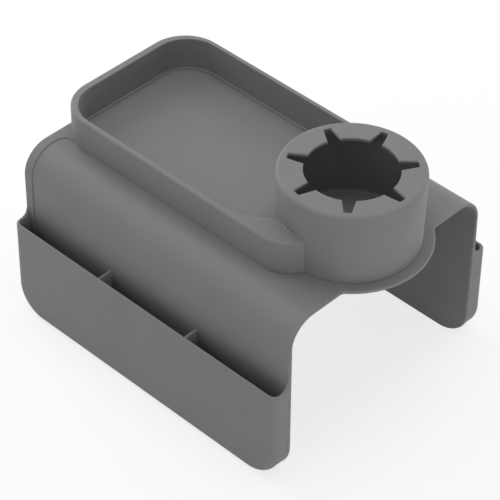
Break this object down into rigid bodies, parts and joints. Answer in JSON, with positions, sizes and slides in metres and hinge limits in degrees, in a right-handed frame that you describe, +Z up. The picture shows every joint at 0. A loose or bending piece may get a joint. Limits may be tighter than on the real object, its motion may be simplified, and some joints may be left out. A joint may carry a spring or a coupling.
{
  "type": "sofa arm tray",
  "caption": "Soft silicone saddle tray for a sofa arm, with a walled dish, a cup holder with flexible gripping petals and divided pockets on both hanging sides.",
  "frame": {"origin": "bottom centre of the whole tray, on the plane that the hanging sides stand on", "axes": "+X along the sofa arm towards the cup holder, +Y across the arm to the far side, +Z up"},
  "size_m": [0.2846, 0.2208, 0.1951],
  "materials": {
    "silicone": "matte"
  },
  "bodies": {
    "saddle": {"deck_panel": "silicone", "tray_wall": "silicone", "tray_floor": "silicone", "cup_barrel": "silicone", "grip_collar": "silicone", "near_shoulder": "silicone", "far_shoulder": "silicone"},
    "near_side": {"near_wing": "silicone", "near_pocket": "silicone", "near_divider_back": "silicone", "near_divider_front": "silicone"},
    "far_side": {"far_wing": "silicone", "far_pocket": "silicone", "far_divider_back": "silicone", "far_divider_front": "silicone"},
    "petal_1": {"grip_petal_1": "silicone"},
    "petal_2": {"grip_petal_2": "silicone"},
    "petal_3": {"grip_petal_3": "silicone"},
    "petal_4": {"grip_petal_4": "silicone"},
    "petal_5": {"grip_petal_5": "silicone"},
    "petal_6": {"grip_petal_6": "silicone"},
    "petal_7": {"grip_petal_7": "silicone"}
  },
  "joints": [
    {"name": "near_side_fold", "type": "hinge", "parent": "saddle", "child": "near_side", "pos_m": [-0.01125, -0.09515, 0.11635], "axis": [-1, 0, 0], "range_deg": [-35, 90], "stiffness_Nm_per_rad": 3},
    {"name": "far_side_fold", "type": "hinge", "parent": "saddle", "child": "far_side", "pos_m": [-0.01125, 0.09515, 0.11635], "axis": [1, 0, 0], "range_deg": [-35, 90], "stiffness_Nm_per_rad": 3},
    {"name": "petal_1_bend", "type": "hinge", "parent": "saddle", "child": "petal_1", "pos_m": [0.11812, 0.01679, 0.1938], "axis": [0.4339, -0.901, 0], "range_deg": [-35, 70], "stiffness_Nm_per_rad": 0.02},
    {"name": "petal_2_bend", "type": "hinge", "parent": "saddle", "child": "petal_2", "pos_m": [0.09186, 0.03773, 0.1938], "axis": [0.9749, -0.2225, 0], "range_deg": [-35, 70], "stiffness_Nm_per_rad": 0.02},
    {"name": "petal_3_bend", "type": "hinge", "parent": "saddle", "child": "petal_3", "pos_m": [0.05912, 0.03026, 0.1938], "axis": [0.7818, 0.6235, 0], "range_deg": [-35, 70], "stiffness_Nm_per_rad": 0.02},
    {"name": "petal_4_bend", "type": "hinge", "parent": "saddle", "child": "petal_4", "pos_m": [0.04455, 0, 0.1938], "axis": [0, 1, 0], "range_deg": [-35, 70], "stiffness_Nm_per_rad": 0.02},
    {"name": "petal_5_bend", "type": "hinge", "parent": "saddle", "child": "petal_5", "pos_m": [0.05912, -0.03026, 0.1938], "axis": [-0.7818, 0.6235, 0], "range_deg": [-35, 70], "stiffness_Nm_per_rad": 0.02},
    {"name": "petal_6_bend", "type": "hinge", "parent": "saddle", "child": "petal_6", "pos_m": [0.09186, -0.03773, 0.1938], "axis": [-0.9749, -0.2225, 0], "range_deg": [-35, 70], "stiffness_Nm_per_rad": 0.02},
    {"name": "petal_7_bend", "type": "hinge", "parent": "saddle", "child": "petal_7", "pos_m": [0.11812, -0.01679, 0.1938], "axis": [-0.4339, -0.901, 0], "range_deg": [-35, 70], "stiffness_Nm_per_rad": 0.02}
  ]
}
